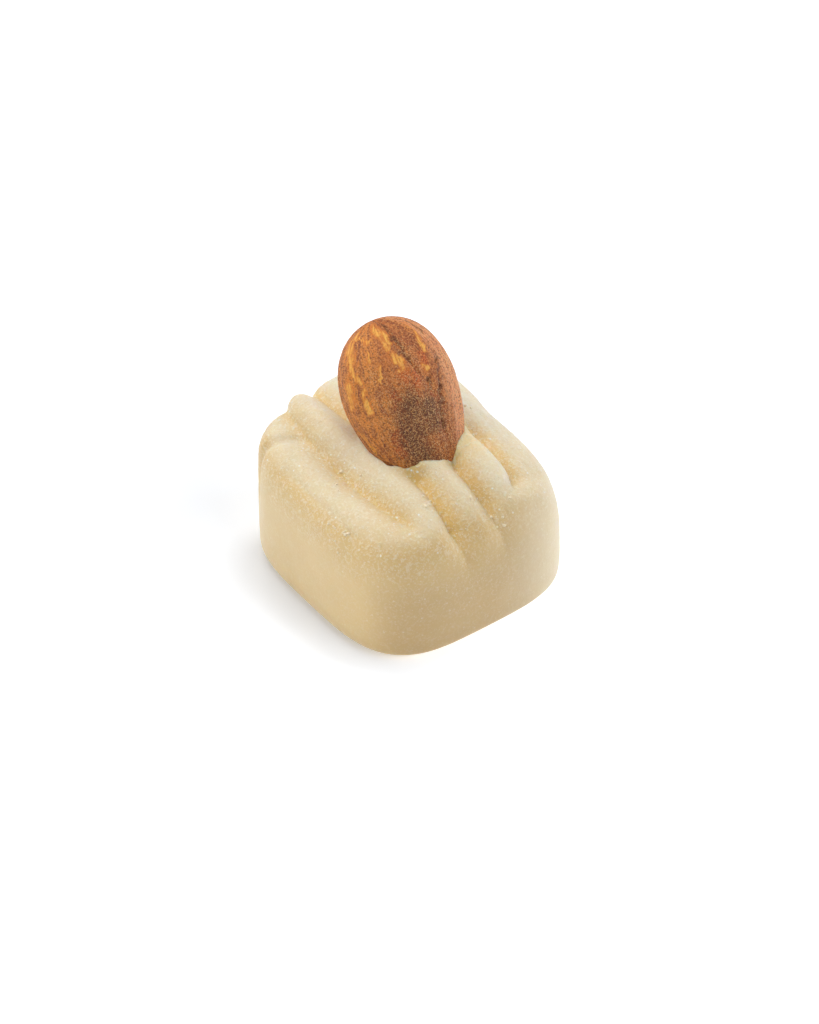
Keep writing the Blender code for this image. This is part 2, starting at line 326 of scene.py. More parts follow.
# Painted shade in the grain's pits and painted highlight on its peaks
GRAIN_PIT_SHADE = (222, 190, 128)
GRAIN_PEAK_HIGHLIGHT = (248, 240, 218)
# Partly the paste's own sugar and partly painted sparkle
SUGAR_AND_SPARKLE_WHITE = (252, 246, 232)
GLINT_WHITE = (255, 253, 248)
SPECK_BROWN = (186, 136, 84)
CRUMB_DARK = (240, 220, 180)
CRUMB_LIGHT = (252, 240, 214)

# Colours of the almond's skin
BROWN_DARK = (158, 76, 32)
BROWN_LIGHT = (206, 116, 50)
BROWN_BLOTCH = (220, 134, 60)
# Painted light on the almond's left side
LIT_ORANGE_DARK = (166, 90, 46)
LIT_ORANGE_LIGHT = (230, 142, 58)
PINK_DARK = (214, 120, 72)
PINK_LIGHT = (252, 184, 124)
MARK_RED = (206, 92, 26)
STREAK_DARK = (104, 50, 28)
STAIN_DARK = (74, 42, 24)
RUBBED_ORANGE = (220, 124, 42)
RUBBED_DARK = (232, 140, 44)
RUBBED_LIGHT = (255, 190, 84)
# Dark of the creases and pits, and painted shade along the seat's gap
CREASE_AND_GAP_SHADE = (88, 38, 18)
PEEL_GOLD = (238, 158, 48)
POWDER_DARK = (88, 42, 22)
POWDER_LIGHT = (240, 174, 104)
DUST_LIGHT = (234, 188, 128)

# Camera, from the photograph: it looks down at the base's centre, which it shows a little low
CAMERA_AZIMUTH = math.radians(-36.6)
CAMERA_ELEVATION = math.radians(42.38)
CAMERA_DISTANCE = 0.49779
CAMERA_CLIP_START = 0.01
FRAME_WIDTH = 819
FRAME_HEIGHT = 1024
PIXELS_DISTANCE = 4500
BASE_PIXEL = (408.91, 556.55)
SENSOR_WIDTH = 36.0

# Floor, with linear colours. It glows a little, which keeps the shadow soft and pale.
FLOOR_HALF_SIZE = 1.5
FLOOR_DROP = 0.00002
FLOOR_WHITE = (0.86, 0.88, 0.91, 1.0)
FLOOR_GLOW = (0.94, 0.98, 1.05, 1.0)
FLOOR_GLOW_STRENGTH = 0.33

# Lights: soft square boxes that face the sweet, placed by the same angles as the camera, in degrees.
# The floor and the sweet have lights of their own, so that the shadow and the paste both match.
Light = namedtuple("Light", "name azimuth elevation size power")
LIGHT_DISTANCE = 0.6
WORLD_STRENGTH = 0.1
FLOOR_LIGHTS = (
    Light("floor_right", 110.0, 70.0, 0.2, 1.07),
    Light("floor_back", 170.0, 60.0, 0.3, 1.2),
    Light("floor_low", 60.0, 15.0, 0.3, 2.86),
    Light("floor_front", 35.0, 25.0, 0.2, 0.83),
    Light("floor_near", 10.0, 35.0, 0.3, 1.38),
)
SWEET_LIGHTS = (
    Light("top", 0.0, 89.0, 0.6, 2.07),
    Light("left_back", -120.0, 35.0, 0.4, 0.55),
    Light("left_high", -110.0, 60.0, 0.3, 0.88),
    Light("back", 180.0, 35.0, 0.4, 1.03),
    Light("right", 80.0, 20.0, 0.4, 1.19),
)

# Noise patterns that the layers of the almond's skin share
SkinPatterns = namedtuple("SkinPatterns", "fine broad blotches powder grit")

# A speckle's dot, as shares of its cell: it is full up to its core and gone at its edge
DOT_CORE = 0.15
DOT_EDGE = 0.45

# Sockets of a colour Mix node, whose names it repeats for other kinds of data
MIX_FACTOR = 0
MIX_FIRST = 6
MIX_SECOND = 7
MIX_RESULT = 2


def smooth_step(low, high, value):
    t = np.clip((value - low) / (high - low), 0.0, 1.0)
    return t * t * (3.0 - 2.0 * t)


def srgb(red, green, blue):
    """A linear colour with alpha from sRGB steps of 255."""
    steps = np.array([red, green, blue]) / 255.0
    return (*(((steps + 0.055) / 1.055) ** 2.4), 1.0)


def lumps(points, size, shift=0.0):
    """Smooth noise from about -1 to 1, with lumps of the given size. A shift gives another pattern."""
    return np.array([noise.noise(point) for point in (points / size + shift).tolist()])


# ---------------------------------------------------------------------------------------- meshes

def gridded_wall(us, vs, place):
    """Points and quads of one wall. place turns a grid of u and v into x, y and z."""
    u, v = np.meshgrid(us, vs, indexing="ij")
    points = np.stack(np.broadcast_arrays(*place(u, v)), axis=-1).reshape(-1, 3)
    at = np.arange(u.size).reshape(u.shape)
    quads = np.stack([at[:-1, :-1], at[1:, :-1], at[1:, 1:], at[:-1, 1:]], axis=-1).reshape(-1, 4)
    return points, quads


def gridded_cube():
    """The six walls of a cube from -1 to 1, with their shared edges welded."""
    across = np.linspace(-1.0, 1.0, CELLS_ACROSS + 1)
    along = np.linspace(-1.0, 1.0, CELLS_ALONG + 1)
    below = np.linspace(-1.0, 0.0, CELLS_BELOW_WAIST, endpoint=False)
    up = np.concatenate([below, np.linspace(0.0, 1.0, CELLS_ABOVE_WAIST + 1)])
    walls = (
        gridded_wall(across, along, lambda u, v: (u, v, 1.0)),
        gridded_wall(along, across, lambda u, v: (v, u, -1.0)),
        gridded_wall(across, up, lambda u, v: (u, -1.0, v)),
        gridded_wall(up, across, lambda u, v: (v, 1.0, u)),
        gridded_wall(along, up, lambda u, v: (1.0, u, v)),
        gridded_wall(up, along, lambda u, v: (-1.0, v, u)),
    )
    points, quads, count = [], [], 0
    for wall_points, wall_quads in walls:
        points.append(wall_points)
        quads.append(wall_quads + count)
        count += len(wall_points)
    points, welded = np.unique(np.concatenate(points).round(9), axis=0, return_inverse=True)
    return points, welded.ravel()[np.concatenate(quads)]


def make_mesh(name, points, faces):
    """A smooth-shaded mesh from points in millimetres."""
    mesh = bpy.data.meshes.new(name)
    mesh.from_pydata((points * MM).tolist(), [], [list(face) for face in faces])
    mesh.shade_smooth()
    return mesh


def mesh_normals(mesh):
    normals = np.empty(len(mesh.vertices) * 3, np.float32)
    mesh.vertex_normals.foreach_get("vector", normals)
    return normals.reshape(-1, 3).astype(float)


def move_points(mesh, points):
    mesh.vertices.foreach_set("co", (points * MM).ravel())
    mesh.update()


def add_attribute(mesh, name, values):
    """A named value or vector on each vertex, for the material to read."""
    if values.ndim == 1:
        mesh.attributes.new(name, "FLOAT", "POINT").data.foreach_set("value", values)
    else:
        mesh.attributes.new(name, "FLOAT_VECTOR", "POINT").data.foreach_set("vector", values.ravel())


def add_object(name, mesh, material, collection):
    mesh.materials.append(material)
    item = bpy.data.objects.new(name, mesh)
    collection.objects.link(item)
    return item


def add_collection(name):
    collection = bpy.data.collections.new(name)
    bpy.context.scene.collection.children.link(collection)
    return collection


# ----------------------------------------------------------------------------------------- block

def vertical_exponents(a, b, c):
    side = np.where(a > 0.0, RIGHT_SHOULDER, LEFT_SHOULDER)
    end = np.where(b > 0.0, BACK_SHOULDER, FRONT_SHOULDER)
    share = a * a / np.maximum(a * a + b * b, SMALLEST)
    return np.where(c > 0.0, side * share + end * (1.0 - share), FOOT_EXPONENT)


def block_points(cube):
    """The smooth block's surface points for points of a cube from -1 to 1."""
    a, b, c = cube.T
    plan = (abs(a) ** PLAN_EXPONENT + abs(b) ** PLAN_EXPONENT) ** (1.0 / PLAN_EXPONENT)
    power = vertical_exponents(a, b, c)
    reach = (plan ** power + abs(c) ** power) ** (-1.0 / power)
    x, y, z = a * reach, b * reach, c * reach
    dome = 1.0 - CROSS_DOME * x * x + CROSS_TILT * x
    upper = WAIST_HEIGHT + z * (HEIGHT - WAIST_HEIGHT) * dome
    lower = np.maximum(WAIST_HEIGHT * (1.0 + FOOT_OVERSHOOT * z), 0.0)
    return np.stack([x * HALF_WIDTH, y * HALF_LENGTH, np.where(z > 0.0, upper, lower)], axis=-1)


def collar(x, y):
    """1 at the foot of the almond, falling to 0 away from it."""
    across = (x - COLLAR_CENTRE[0]) / COLLAR_HALF_WIDTH
    along = (y - COLLAR_CENTRE[1]) / COLLAR_HALF_LENGTH
    outside = (np.hypot(across, along) - 1.0) * 0.5 * (COLLAR_HALF_WIDTH + COLLAR_HALF_LENGTH)
    return np.exp(-(np.maximum(outside, 0.0) / COLLAR_REACH) ** 2)


def high_up(z):
    return smooth_step(BACK_FADE_LOW, BACK_FADE_HIGH, z)


def groove_depth(groove, x, y, z):
    t = y / HALF_LENGTH
    path = groove.centre + groove.slant * t + groove.bow * t * t
    path += sum(turn.shift * np.exp(-((t - turn.t) / turn.length) ** 2) for turn in groove.turns)
    offset = (x - path) / np.where(x < path, groove.left_width, groove.right_width)
    inside = np.maximum(1.0 + VALLEY_ROUNDING - np.hypot(offset, VALLEY_ROUNDING), 0.0)
    valley = 1.0 - (1.0 - inside * inside) ** VALLEY_SHARPNESS
    middle = smooth_step(MIDDLE_FRONT, MIDDLE_BACK, y)
    depth = groove.depth + (groove.back_depth - groove.depth) * middle
    front = smooth_step(groove.front_end - groove.front_fade, groove.front_end + groove.front_fade, y)
    back = 1.0 - smooth_step(0.0, MIDDLE_BACK, y) * (1.0 - high_up(z))
    return depth * valley * front * back


def grooves_depth(x, y, z):
    return sum(groove_depth(groove, x, y, z) for groove in GROOVES)


def groove_shade_share(x, y, z):
    """Up to 1 in a deep groove, where golden shade is painted into the paste."""
    shares = ((groove_depth(groove, x, y, z) / groove.depth) ** GROOVE_SHADE_SPREAD for groove in GROOVES)
    return sum(gold * share for gold, share in zip(GROOVE_SHADE_SHARES, shares))


def creases_depth(x, y, z):
    along = 1.0 - smooth_step(CREASE_BACK_END - CREASE_BACK_FADE, CREASE_BACK_END + CREASE_BACK_FADE, y)
    depth = sum(groove_depth(crease, x, y, z) for crease in CREASES)
    return depth * along * smooth_step(CREASE_LOW, CREASE_HIGH, z)


def dent_depth(x, y, z):
    """The dent that parts the far end of the outermost ridge from the rest of it."""
    offset = (y - DENT_Y - DENT_SLOPE * (x - DENT_X)) / DENT_WIDTH
    across = 1.0 - smooth_step(DENT_REACH - DENT_WIDTH, DENT_REACH + DENT_WIDTH, x)
    return DENT_DEPTH * np.exp(-offset * offset) * across * high_up(z)


def ridge_lift(x, y, z):
    """How much higher or lower the ridges' back halves are than the smooth block."""
    lift = 0.0
    for ridge in RIDGES:
        lift += ridge.back_lift * np.exp(-((x - ridge.centre) / RIDGE_HALF_WIDTH) ** 2)
    return lift * smooth_step(0.0, RIDGE_LIFT_LENGTH, y) * high_up(z)


def unevenness(points):
    angles = (math.tau * points @ np.array(w.direction) / w.length + w.phase for w in WAVES)
    return WAVE_HEIGHT * sum(np.sin(angle) for angle in angles)


def relief(points):
    """How far the ridged surface stands out of the smooth block."""
    x, y, z = points.T
    pushed = collar(x, y)
    height = unevenness(points) + np.interp(x, *COLLAR_LIFTS.T) * pushed
    height -= grooves_depth(x, y, z) * (1.0 - COLLAR_FILL * pushed)
    height -= creases_depth(x, y, z) + dent_depth(x, y, z)
    return height * smooth_step(0.0, FOOT_FADE_HEIGHT, z)


def graininess(points, normals, grooves):
    """About 1 on the ridges, more in the grooves, where the paste is torn, and low on the walls."""
    z = points[:, 2] + GRAIN_EDGE_SWAY * lumps(points, GRAIN_EDGE_SIZE)
    high = smooth_step(GRAIN_LOW, GRAIN_HIGH, z)
    facing = smooth_step(*FRONT_GRAIN_FACING, -normals[:, 1])
    front = FRONT_GRAIN * facing * smooth_step(0.0, GRAIN_HIGH, z)
    return WALL_GRAIN + (1.0 - WALL_GRAIN) * np.maximum(high, front) + GROOVE_GRAIN * grooves


def wrinkles(points):
    """Short cracks in the front, where the middle ridges end."""
    outside = np.linalg.norm((points - WRINKLES_CENTRE) / WRINKLES_REACH, axis=1)
    lines = 1.0 - smooth_step(0.0, WRINKLE_LINE, abs(lumps(points / WRINKLE_SIZE, 1.0, shift=2.0)))
    return lines * (1.0 - smooth_step(WRINKLES_FULL, 1.0, outside))


def paste_relief(points, grain):
    coarse = lumps(points, LUMP_SIZE, shift=7.0) * LUMP_HEIGHT
    finer = lumps(points, 0.5 * GRAIN_SIZE, shift=5.0)
    fine = lumps(points, GRAIN_SIZE, shift=3.0) + FINER_GRAIN_SHARE * finer
    height = coarse + fine * GRAIN_HEIGHT * grain - wrinkles(points) * WRINKLE_DEPTH
    return height * smooth_step(0.0, FOOT_FADE_HEIGHT, points[:, 2])


def painted_highlight_share(x, y, normals, grooves):
    """1 where the paste is whitened by a painted highlight, which is on its crests and its right side.

    The crests' painted highlight is weaker at the near corner and at the left end.
    """
    near_corner = smooth_step(*NEAR_CORNER_FRONT, -y) * smooth_step(*NEAR_CORNER_LEFT, -x)
    crown = smooth_step(*CROWN_FACING, normals[:, 2]) * (1.0 - grooves)
    crown *= 1.0 - CROWN_LEFT_LOSS * smooth_step(*LEFT_END, -x)
    right = smooth_step(*RIGHT_END, x) * (1.0 - RIGHT_GROOVE_LOSS * grooves)
    return crown * (1.0 - CROWN_FRONT_LOSS * near_corner) + RIGHT_SHARE * right


def front_shade_share(x, z, normals):
    """1 low on the front wall, which is painted a little browner as shade, but not at its right end."""
    low = (1.0 - smooth_step(*BROWN_HEIGHTS, z)) * (1.0 - smooth_step(*BROWN_RIGHT_END, x))
    return smooth_step(*BROWN_FACING, -normals[:, 1]) * low


def painted_glow(x, y, grooves):
    """1 where a glow is painted into the thin paste at the almond's foot, for the light that comes
    through it.
    """
    away = np.hypot(x - GLOW_CENTRE[0], y - GLOW_CENTRE[1]) / GLOW_REACH
    return GLOW_SHARE * np.exp(-away * away) * (GLOW_ALL_OVER + GLOW_IN_GROOVES * grooves)


def join_base(mesh):
    """Join what lies flat on the floor into one face."""
    bm = bmesh.new()
    bm.from_mesh(mesh)
    base = [face for face in bm.faces if all(vert.co.z == 0.0 for vert in face.verts)]
    bmesh.ops.dissolve_faces(bm, faces=base)
    bm.to_mesh(mesh)
    bm.free()


def block_mesh():
    cube, quads = gridded_cube()
    smooth = block_points(cube)
    mesh = make_mesh("marzipan_body", smooth, quads)
    x, y, z = smooth.T
    normals = mesh_normals(mesh)
    ridged = smooth + normals * relief(smooth)[:, None] + UP * ridge_lift(x, y, z)[:, None]
    move_points(mesh, ridged)
    grooves = np.clip(GROOVE_SHARE_PER_MM * grooves_depth(x, y, z), 0.0, 1.0)
    grain = graininess(ridged, normals, grooves)
    move_points(mesh, ridged + mesh_normals(mesh) * paste_relief(ridged, grain)[:, None])
    # Painted shade in the grooves
    add_attribute(mesh, "gold", groove_shade_share(x, y, z))
    add_attribute(mesh, "grain", grain)
    # Painted highlight on the crests and the right side
    add_attribute(mesh, "pale", painted_highlight_share(x, y, normals, grooves))
    # Painted shade low on the front wall
    add_attribute(mesh, "front", front_shade_share(x, z, normals))
    # Painted glow at the almond's foot
    add_attribute(mesh, "painted_glow", painted_glow(x, y, grooves))
    join_base(mesh)
    return mesh


def crumb_points(rng, radius):
    """A small uneven blob, with its faces."""
    bm = bmesh.new()
    bmesh.ops.create_icosphere(bm, subdivisions=2, radius=1.0)
    bm.verts.index_update()
    ball = np.array([vert.co for vert in bm.verts])
    faces = np.array([[vert.index for vert in face.verts] for face in bm.faces])
    bm.free()
    stretch = rng.uniform(*CRUMB_STRETCH, 3)
    bumps = lumps(ball, CRUMB_BUMP_SIZE, shift=rng.uniform(0.0, CRUMB_NOISE_SPAN))
    return ball * (1.0 + CRUMB_BUMP_HEIGHT * bumps)[:, None] * stretch * radius, faces


def crumbs_mesh(block):
    """Crumbs of paste on the block's surface."""
    rng = np.random.default_rng(CRUMB_SEED)
    surface = BVHTree.FromPolygons([v.co for v in block.vertices], [p.vertices for p in block.polygons])
    points, faces, count = [], [], 0
    for patch in CRUMB_PATCHES:
        for centre in rng.normal(patch.centre, 0.5 * patch.reach, (patch.count, 3)):
            place, normal, _, _ = surface.find_nearest(Vector(centre) * MM)
            radius = rng.uniform(CRUMB_SMALLEST, CRUMB_LARGEST)
            crumb, crumb_faces = crumb_points(rng, radius)
            points.append(crumb + np.array(place) / MM + np.array(normal) * radius * (1.0 - CRUMB_SUNK))
            faces.append(crumb_faces + count)
            count += len(crumb)
    return make_mesh("marzipan_crumbs", np.concatenate(points), np.concatenate(faces))


# ---------------------------------------------------------------------------------------- almond

def almond_profile(s):
    """Width of the almond as a share of its widest, for s from 0 at the tip to 1 at the blunt end."""
    t = np.clip(1.0 - s / ALMOND_WIDEST, 0.0, 1.0)
    tip = (1.0 - t ** ALMOND_TIP_SHARPNESS) ** ALMOND_TIP_TAPER
    t = np.clip((s - ALMOND_WIDEST) / (1.0 - ALMOND_WIDEST), 0.0, 1.0)
    return np.where(s < ALMOND_WIDEST, tip, np.sqrt(1.0 - t ** ALMOND_BLUNTNESS))


def almond_grid(rings, sides):
    """Points and faces of the smooth almond along +Z, tip at the origin, and each point's s and angle."""
    s = 0.5 - 0.5 * np.cos(math.pi * np.arange(1, rings) / rings)
    angle = math.tau * np.arange(sides) / sides
    s, angle = (values.ravel() for values in np.meshgrid(s, angle, indexing="ij"))
    share = almond_profile(s)
    x = 0.5 * ALMOND_WIDTH * share * np.cos(angle)
    y = 0.5 * ALMOND_THICKNESS * share ** ALMOND_THICKNESS_POWER * np.sin(angle)
    ends = np.array([[0.0, 0.0, 0.0], [0.0, 0.0, ALMOND_LENGTH]])
    points = np.concatenate([np.stack([x, y, s * ALMOND_LENGTH], axis=-1), ends])
    at = np.arange(s.size).reshape(rings - 1, sides)
    after = np.roll(at, -1, axis=1)
    quads = np.stack([at[:-1], after[:-1], after[1:], at[1:]], axis=-1).reshape(-1, 4)
    tip, top = s.size, s.size + 1
    faces = quads.tolist()
    faces += [(tip, b, a) for a, b in zip(at[0], after[0])]
    faces += [(top, a, b) for a, b in zip(at[-1], after[-1])]
    return points, faces, np.append(s, [0.0, 1.0]), np.append(angle, [0.0, 0.0])


def almond_pose():
    lean = Matrix.Rotation(-ALMOND_LEAN_BACK, 4, "X") @ Matrix.Rotation(ALMOND_LEAN_ASIDE, 4, "Y")
    return Matrix.Translation(Vector(ALMOND_TIP) * MM) @ lean @ Matrix.Rotation(ALMOND_TURN, 4, "Z")


def near_marks(marks, s, angle):
    """1 on the marks, falling to 0 within their widths, for points of the skin at s and angle."""
    share = almond_profile(s)
    radius = 0.25 * (ALMOND_WIDTH + ALMOND_THICKNESS) * share
    nearest = np.zeros_like(s)
    for mark in marks:
        start, end = math.radians(mark.angle), math.radians(mark.end_angle)
        along = np.clip((s - mark.s) / (mark.end_s - mark.s), 0.0, 1.0)
        across = (angle - start - along * (end - start)) * radius
        beyond = (s - mark.s - along * (mark.end_s - mark.s)) * ALMOND_LENGTH
        nearest = np.maximum(nearest, np.exp(-(across * across + beyond * beyond) / mark.width ** 2))
    return nearest


def skin_relief(skin, s, angle):
    share = almond_profile(s)
    veins = VEIN_HEIGHT * np.cos(VEINS * angle + VEIN_WANDER * np.sin(angle))
    streaks = skin * np.array([1.0, 1.0, FURROW_STRETCH])
    finer = lumps(streaks, FINER_FURROW_SIZE, shift=4.0)
    furrows = lumps(streaks, FURROW_SIZE) + FINER_FURROW_SHARE * finer
    pores = PORE_HEIGHT * lumps(skin, PORE_SIZE, shift=9.0)
    broken = 1.0 + CREASE_BREAK_SHARE * lumps(skin, CREASE_BREAK_SIZE, shift=2.0)
    creases = CREASE_INTO_SKIN * near_marks(CREASE_MARKS, s, angle) * broken
    pitted = smooth_step(*PIT_EDGE, lumps(skin, PIT_SIZE, shift=6.0))
    pits = PIT_INTO_SKIN * near_marks(PIT_MARKS, s, angle) * pitted
    return (veins + FURROW_HEIGHT * furrows) * share + pores - creases - pits


def add_skin_marks(mesh, skin, s, angle):
    """Where the skin is rubbed golden, reddish, stained, dusty or peeled, has creases, pits or painted
    gap shade, and its two sides.
    """
    near_s = s + WAVER_ALONG.reach * lumps(skin, WAVER_ALONG.size, shift=3.0)
    near_angle = angle + WAVER_ROUND.reach * lumps(skin, WAVER_ROUND.size, shift=8.0)
    near_angle += FRAY_ROUND.reach * lumps(skin, FRAY_ROUND.size, shift=5.0)
    marks = (
        ("rubbed", RUBBED_MARKS),
        ("red", RED_MARKS),
        # Creases and pits, and painted shade along the seat's gap
        ("crease_and_gap_shade", CREASE_MARKS + PIT_MARKS + GAP_SHADE_MARKS),
        ("stained", STAIN_MARKS),
        ("dusty", DUST_MARKS),
        ("peeled", PEEL_MARKS),
    )
    for name, places in marks:
        add_attribute(mesh, name, near_marks(places, near_s, near_angle))
    degrees = np.degrees(near_angle)
    # The left side carries painted light
    for name, angles in (("left", LIT_LEFT_SIDE), ("right", RIGHT_SIDE)):
        begin, full, fading, end = angles
        side = smooth_step(begin, full, degrees) * (1.0 - smooth_step(fading, end, degrees))
        add_attribute(mesh, name, side)


def almond_mesh():
    points, faces, s, angle = almond_grid(ALMOND_RINGS, ALMOND_SIDES)
    mesh = make_mesh("almond_kernel", points, faces)
    radius = 0.5 * ALMOND_WIDTH
    skin = np.stack([radius * np.cos(angle), radius * np.sin(angle), ALMOND_LENGTH * s], axis=-1)
    move_points(mesh, points + mesh_normals(mesh) * skin_relief(skin, s, angle)[:, None])
    add_attribute(mesh, "skin", skin)
    add_skin_marks(mesh, skin, s, angle)
    mesh.transform(almond_pose())
    return mesh


def seat_cutter():
    """The almond, shrunk so that no gap shows round it, but grown at the slack marks."""
    points, faces, s, angle = almond_grid(SEAT_RINGS, SEAT_SIDES)
    mesh = make_mesh("seat_cutter", points, faces)
    grow = near_marks(SLACK_MARKS, s, angle) * (SEAT_SLACK + SEAT_OVERLAP) - SEAT_OVERLAP
    move_points(mesh, points + mesh_normals(mesh) * grow[:, None])
    mesh.transform(almond_pose())
    cutter = bpy.data.objects.new("seat_cutter", mesh)
    bpy.context.collection.objects.link(cutter)
    return cutter


def press_seat(block):
    """Cut the almond's seat into the block."""
    cutter = seat_cutter()
    cut = block.modifiers.new("seat", "BOOLEAN")
    cut.operation = "DIFFERENCE"
    cut.solver = "MANIFOLD"
    cut.object = cutter
    depsgraph = bpy.context.evaluated_depsgraph_get()
    seated = bpy.data.meshes.new_from_object(block.evaluated_get(depsgraph))
    block.modifiers.clear()
    block.data = seated
    bpy.data.objects.remove(cutter)


# ------------------------------------------------------------------------------------- materials

def plug(tree, socket, value):
    """Give a socket a value, or link another node's output to it."""
    if isinstance(value, bpy.types.NodeSocket):
        tree.links.new(value, socket)
    else:
        socket.default_value = value


def set_inputs(tree, node, **inputs):
    """Fill a node's inputs by name, with _ for each space."""
    for name, value in inputs.items():
        plug(tree, node.inputs[name.replace("_", " ")], value)


def add_node(tree, kind, settings=None, **inputs):
    """A shader node, with some of its settings and inputs."""
    made = tree.nodes.new("ShaderNode" + kind)
    for name, value in (settings or {}).items():
        setattr(made, name, value)
    set_inputs(tree, made, **inputs)
    return made


def mix_colour(tree, factor, first, second):
    """first, with second over it by the factor. A colour is a node's output, or sRGB steps."""
    made = add_node(tree, "Mix", {"data_type": "RGBA"})
    plug(tree, made.inputs[MIX_FACTOR], factor)
    for index, colour in ((MIX_FIRST, first), (MIX_SECOND, second)):
        plug(tree, made.inputs[index], srgb(*colour) if isinstance(colour, tuple) else colour)
    return made.outputs[MIX_RESULT]


def maths(tree, operation, first, second):
    made = add_node(tree, "Math", {"operation": operation})
    plug(tree, made.inputs[0], first)
    plug(tree, made.inputs[1], second)
    return made.outputs[0]


def cover(tree, colour, mask, strength, over):
    """A colour, with another over it where the mask is, at the given strength."""
    return mix_colour(tree, maths(tree, "MULTIPLY", mask, strength), colour, over)


def ramp(tree, value, low, high, to_low=0.0, to_high=1.0):
    """value, stretched so that low to high becomes to_low to to_high."""
    limits = {"From_Min": low, "From_Max": high, "To_Min": to_low, "To_Max": to_high}
    made = add_node(tree, "MapRange", {"interpolation_type": "SMOOTHSTEP"}, Value=value, **limits)
    return made.outputs["Result"]


def noise_of_size(tree, where, size, detail=2.0, roughness=0.5):
    """Noise whose lumps measure about size millimetres."""
    inputs = {"Scale": 1.0 / size, "Detail": detail, "Roughness": roughness}
    return add_node(tree, "TexNoise", Vector=where, **inputs).outputs["Fac"]


def bump(tree, height, strength, distance):
    """A normal that rises and sinks with a height, by a distance in millimetres."""
    made = add_node(tree, "Bump", Strength=strength, Distance=distance * MM, Height=height)
    return made.outputs["Normal"]


def new_material(name):
    material = bpy.data.materials.new(name)
    material.use_nodes = True
    return material, material.node_tree, material.node_tree.nodes["Principled BSDF"]


def in_millimetres(tree):
    where = add_node(tree, "TexCoord").outputs["Object"]
    made = add_node(tree, "VectorMath", {"operation": "SCALE"}, Vector=where, Scale=1.0 / MM)
    return made.outputs["Vector"]


def attribute(tree, name, output="Fac"):
    return add_node(tree, "Attribute", {"attribute_name": name}).outputs[output]


def speckles(tree, where, size, share, softness=0.12):
    """Round dots in a random share of the cells of a pattern, which measure about size millimetres.

    Dots whose draw is less than softness above the limit are fainter.
    """
    cells = add_node(tree, "TexVoronoi", Vector=where, Scale=1.0 / size)
    drawn = add_node(tree, "SeparateColor", Color=cells.outputs["Color"]).outputs[0]
    chosen = ramp(tree, drawn, 1.0 - share, 1.0 - share + softness)
    dots = ramp(tree, cells.outputs["Distance"], DOT_CORE, DOT_EDGE, 1.0, 0.0)
    return maths(tree, "MULTIPLY", dots, chosen)


def threads(tree, where, size, width):
    """Curved hairs that wind about, where noise of that size passes through its middle."""
    middle = maths(tree, "SUBTRACT", noise_of_size(tree, where, size, detail=1.0), 0.5)
    return ramp(tree, maths(tree, "ABSOLUTE", middle, 0.0), 0.0, width, 1.0, 0.0)


def ragged(tree, mark, rough, low, high, to_high=1.0):
    """A mark on the skin with its edge broken up by a rough pattern."""
    swing = maths(tree, "MULTIPLY", maths(tree, "SUBTRACT", rough, 0.5), 2.0)
    return ramp(tree, maths(tree, "ADD", attribute(tree, mark), swing), low, high, 0.0, to_high)


def paste_colour(tree, where):
    """The paste by place: walls, painted shade on the front and in grooves, painted highlight on crests,
    painted glow.
    """
    walls = mix_colour(tree, noise_of_size(tree, where, size=4.0), WALL_DARK, WALL_LIGHT)
    # Painted shade low on the front wall
    walls = mix_colour(tree, attribute(tree, "front"), walls, FRONT_SHADE_BROWN)
    # Painted highlight on the crests and the right side
    highlighted = mix_colour(tree, attribute(tree, "pale"), walls, PAINTED_HIGHLIGHT_CREAM)
    # Painted shade, golden, in the grooves
    golden = ramp(tree, attribute(tree, "gold"), 0.2, 1.0, 0.0, 0.9)
    colour = mix_colour(tree, golden, highlighted, GROOVE_SHADE_GOLDEN)
    # Painted glow at the almond's foot
    return mix_colour(tree, attribute(tree, "painted_glow"), colour, PAINTED_GLOW)


def grain_shade_and_highlight(tree, colour, rough, grain):
    """A colour with a painted highlight where the grain stands up and golden painted shade where it
    sinks.
    """
    pit_shade = maths(tree, "MULTIPLY", ramp(tree, rough, 0.5, 0.3), grain)
    colour = cover(tree, colour, pit_shade, 0.25, GRAIN_PIT_SHADE)
    peak_highlight = maths(tree, "MULTIPLY", ramp(tree, rough, 0.52, 0.68), grain)
    return cover(tree, colour, peak_highlight, 0.42, GRAIN_PEAK_HIGHLIGHT)


def sugar_and_sparkle_share(tree, where, grain):
    """Sugar crystals, partly painted sparkle, and pale hairs of painted glint round them, more where
    there is grain.
    """
    large = speckles(tree, where, size=0.24, share=0.2)
    small = speckles(tree, where, size=0.15, share=0.2)
    crystals = maths(tree, "ADD", large, small)
    patchy = ramp(tree, noise_of_size(tree, where, size=0.5), 0.48, 0.6)
    hairs = maths(tree, "MULTIPLY", threads(tree, where, size=0.7, width=0.09), patchy)
    sugar_and_sparkle = maths(tree, "ADD", crystals, maths(tree, "MULTIPLY", hairs, 0.55))
    return maths(tree, "MULTIPLY", maths(tree, "MINIMUM", sugar_and_sparkle, 1.0), grain)


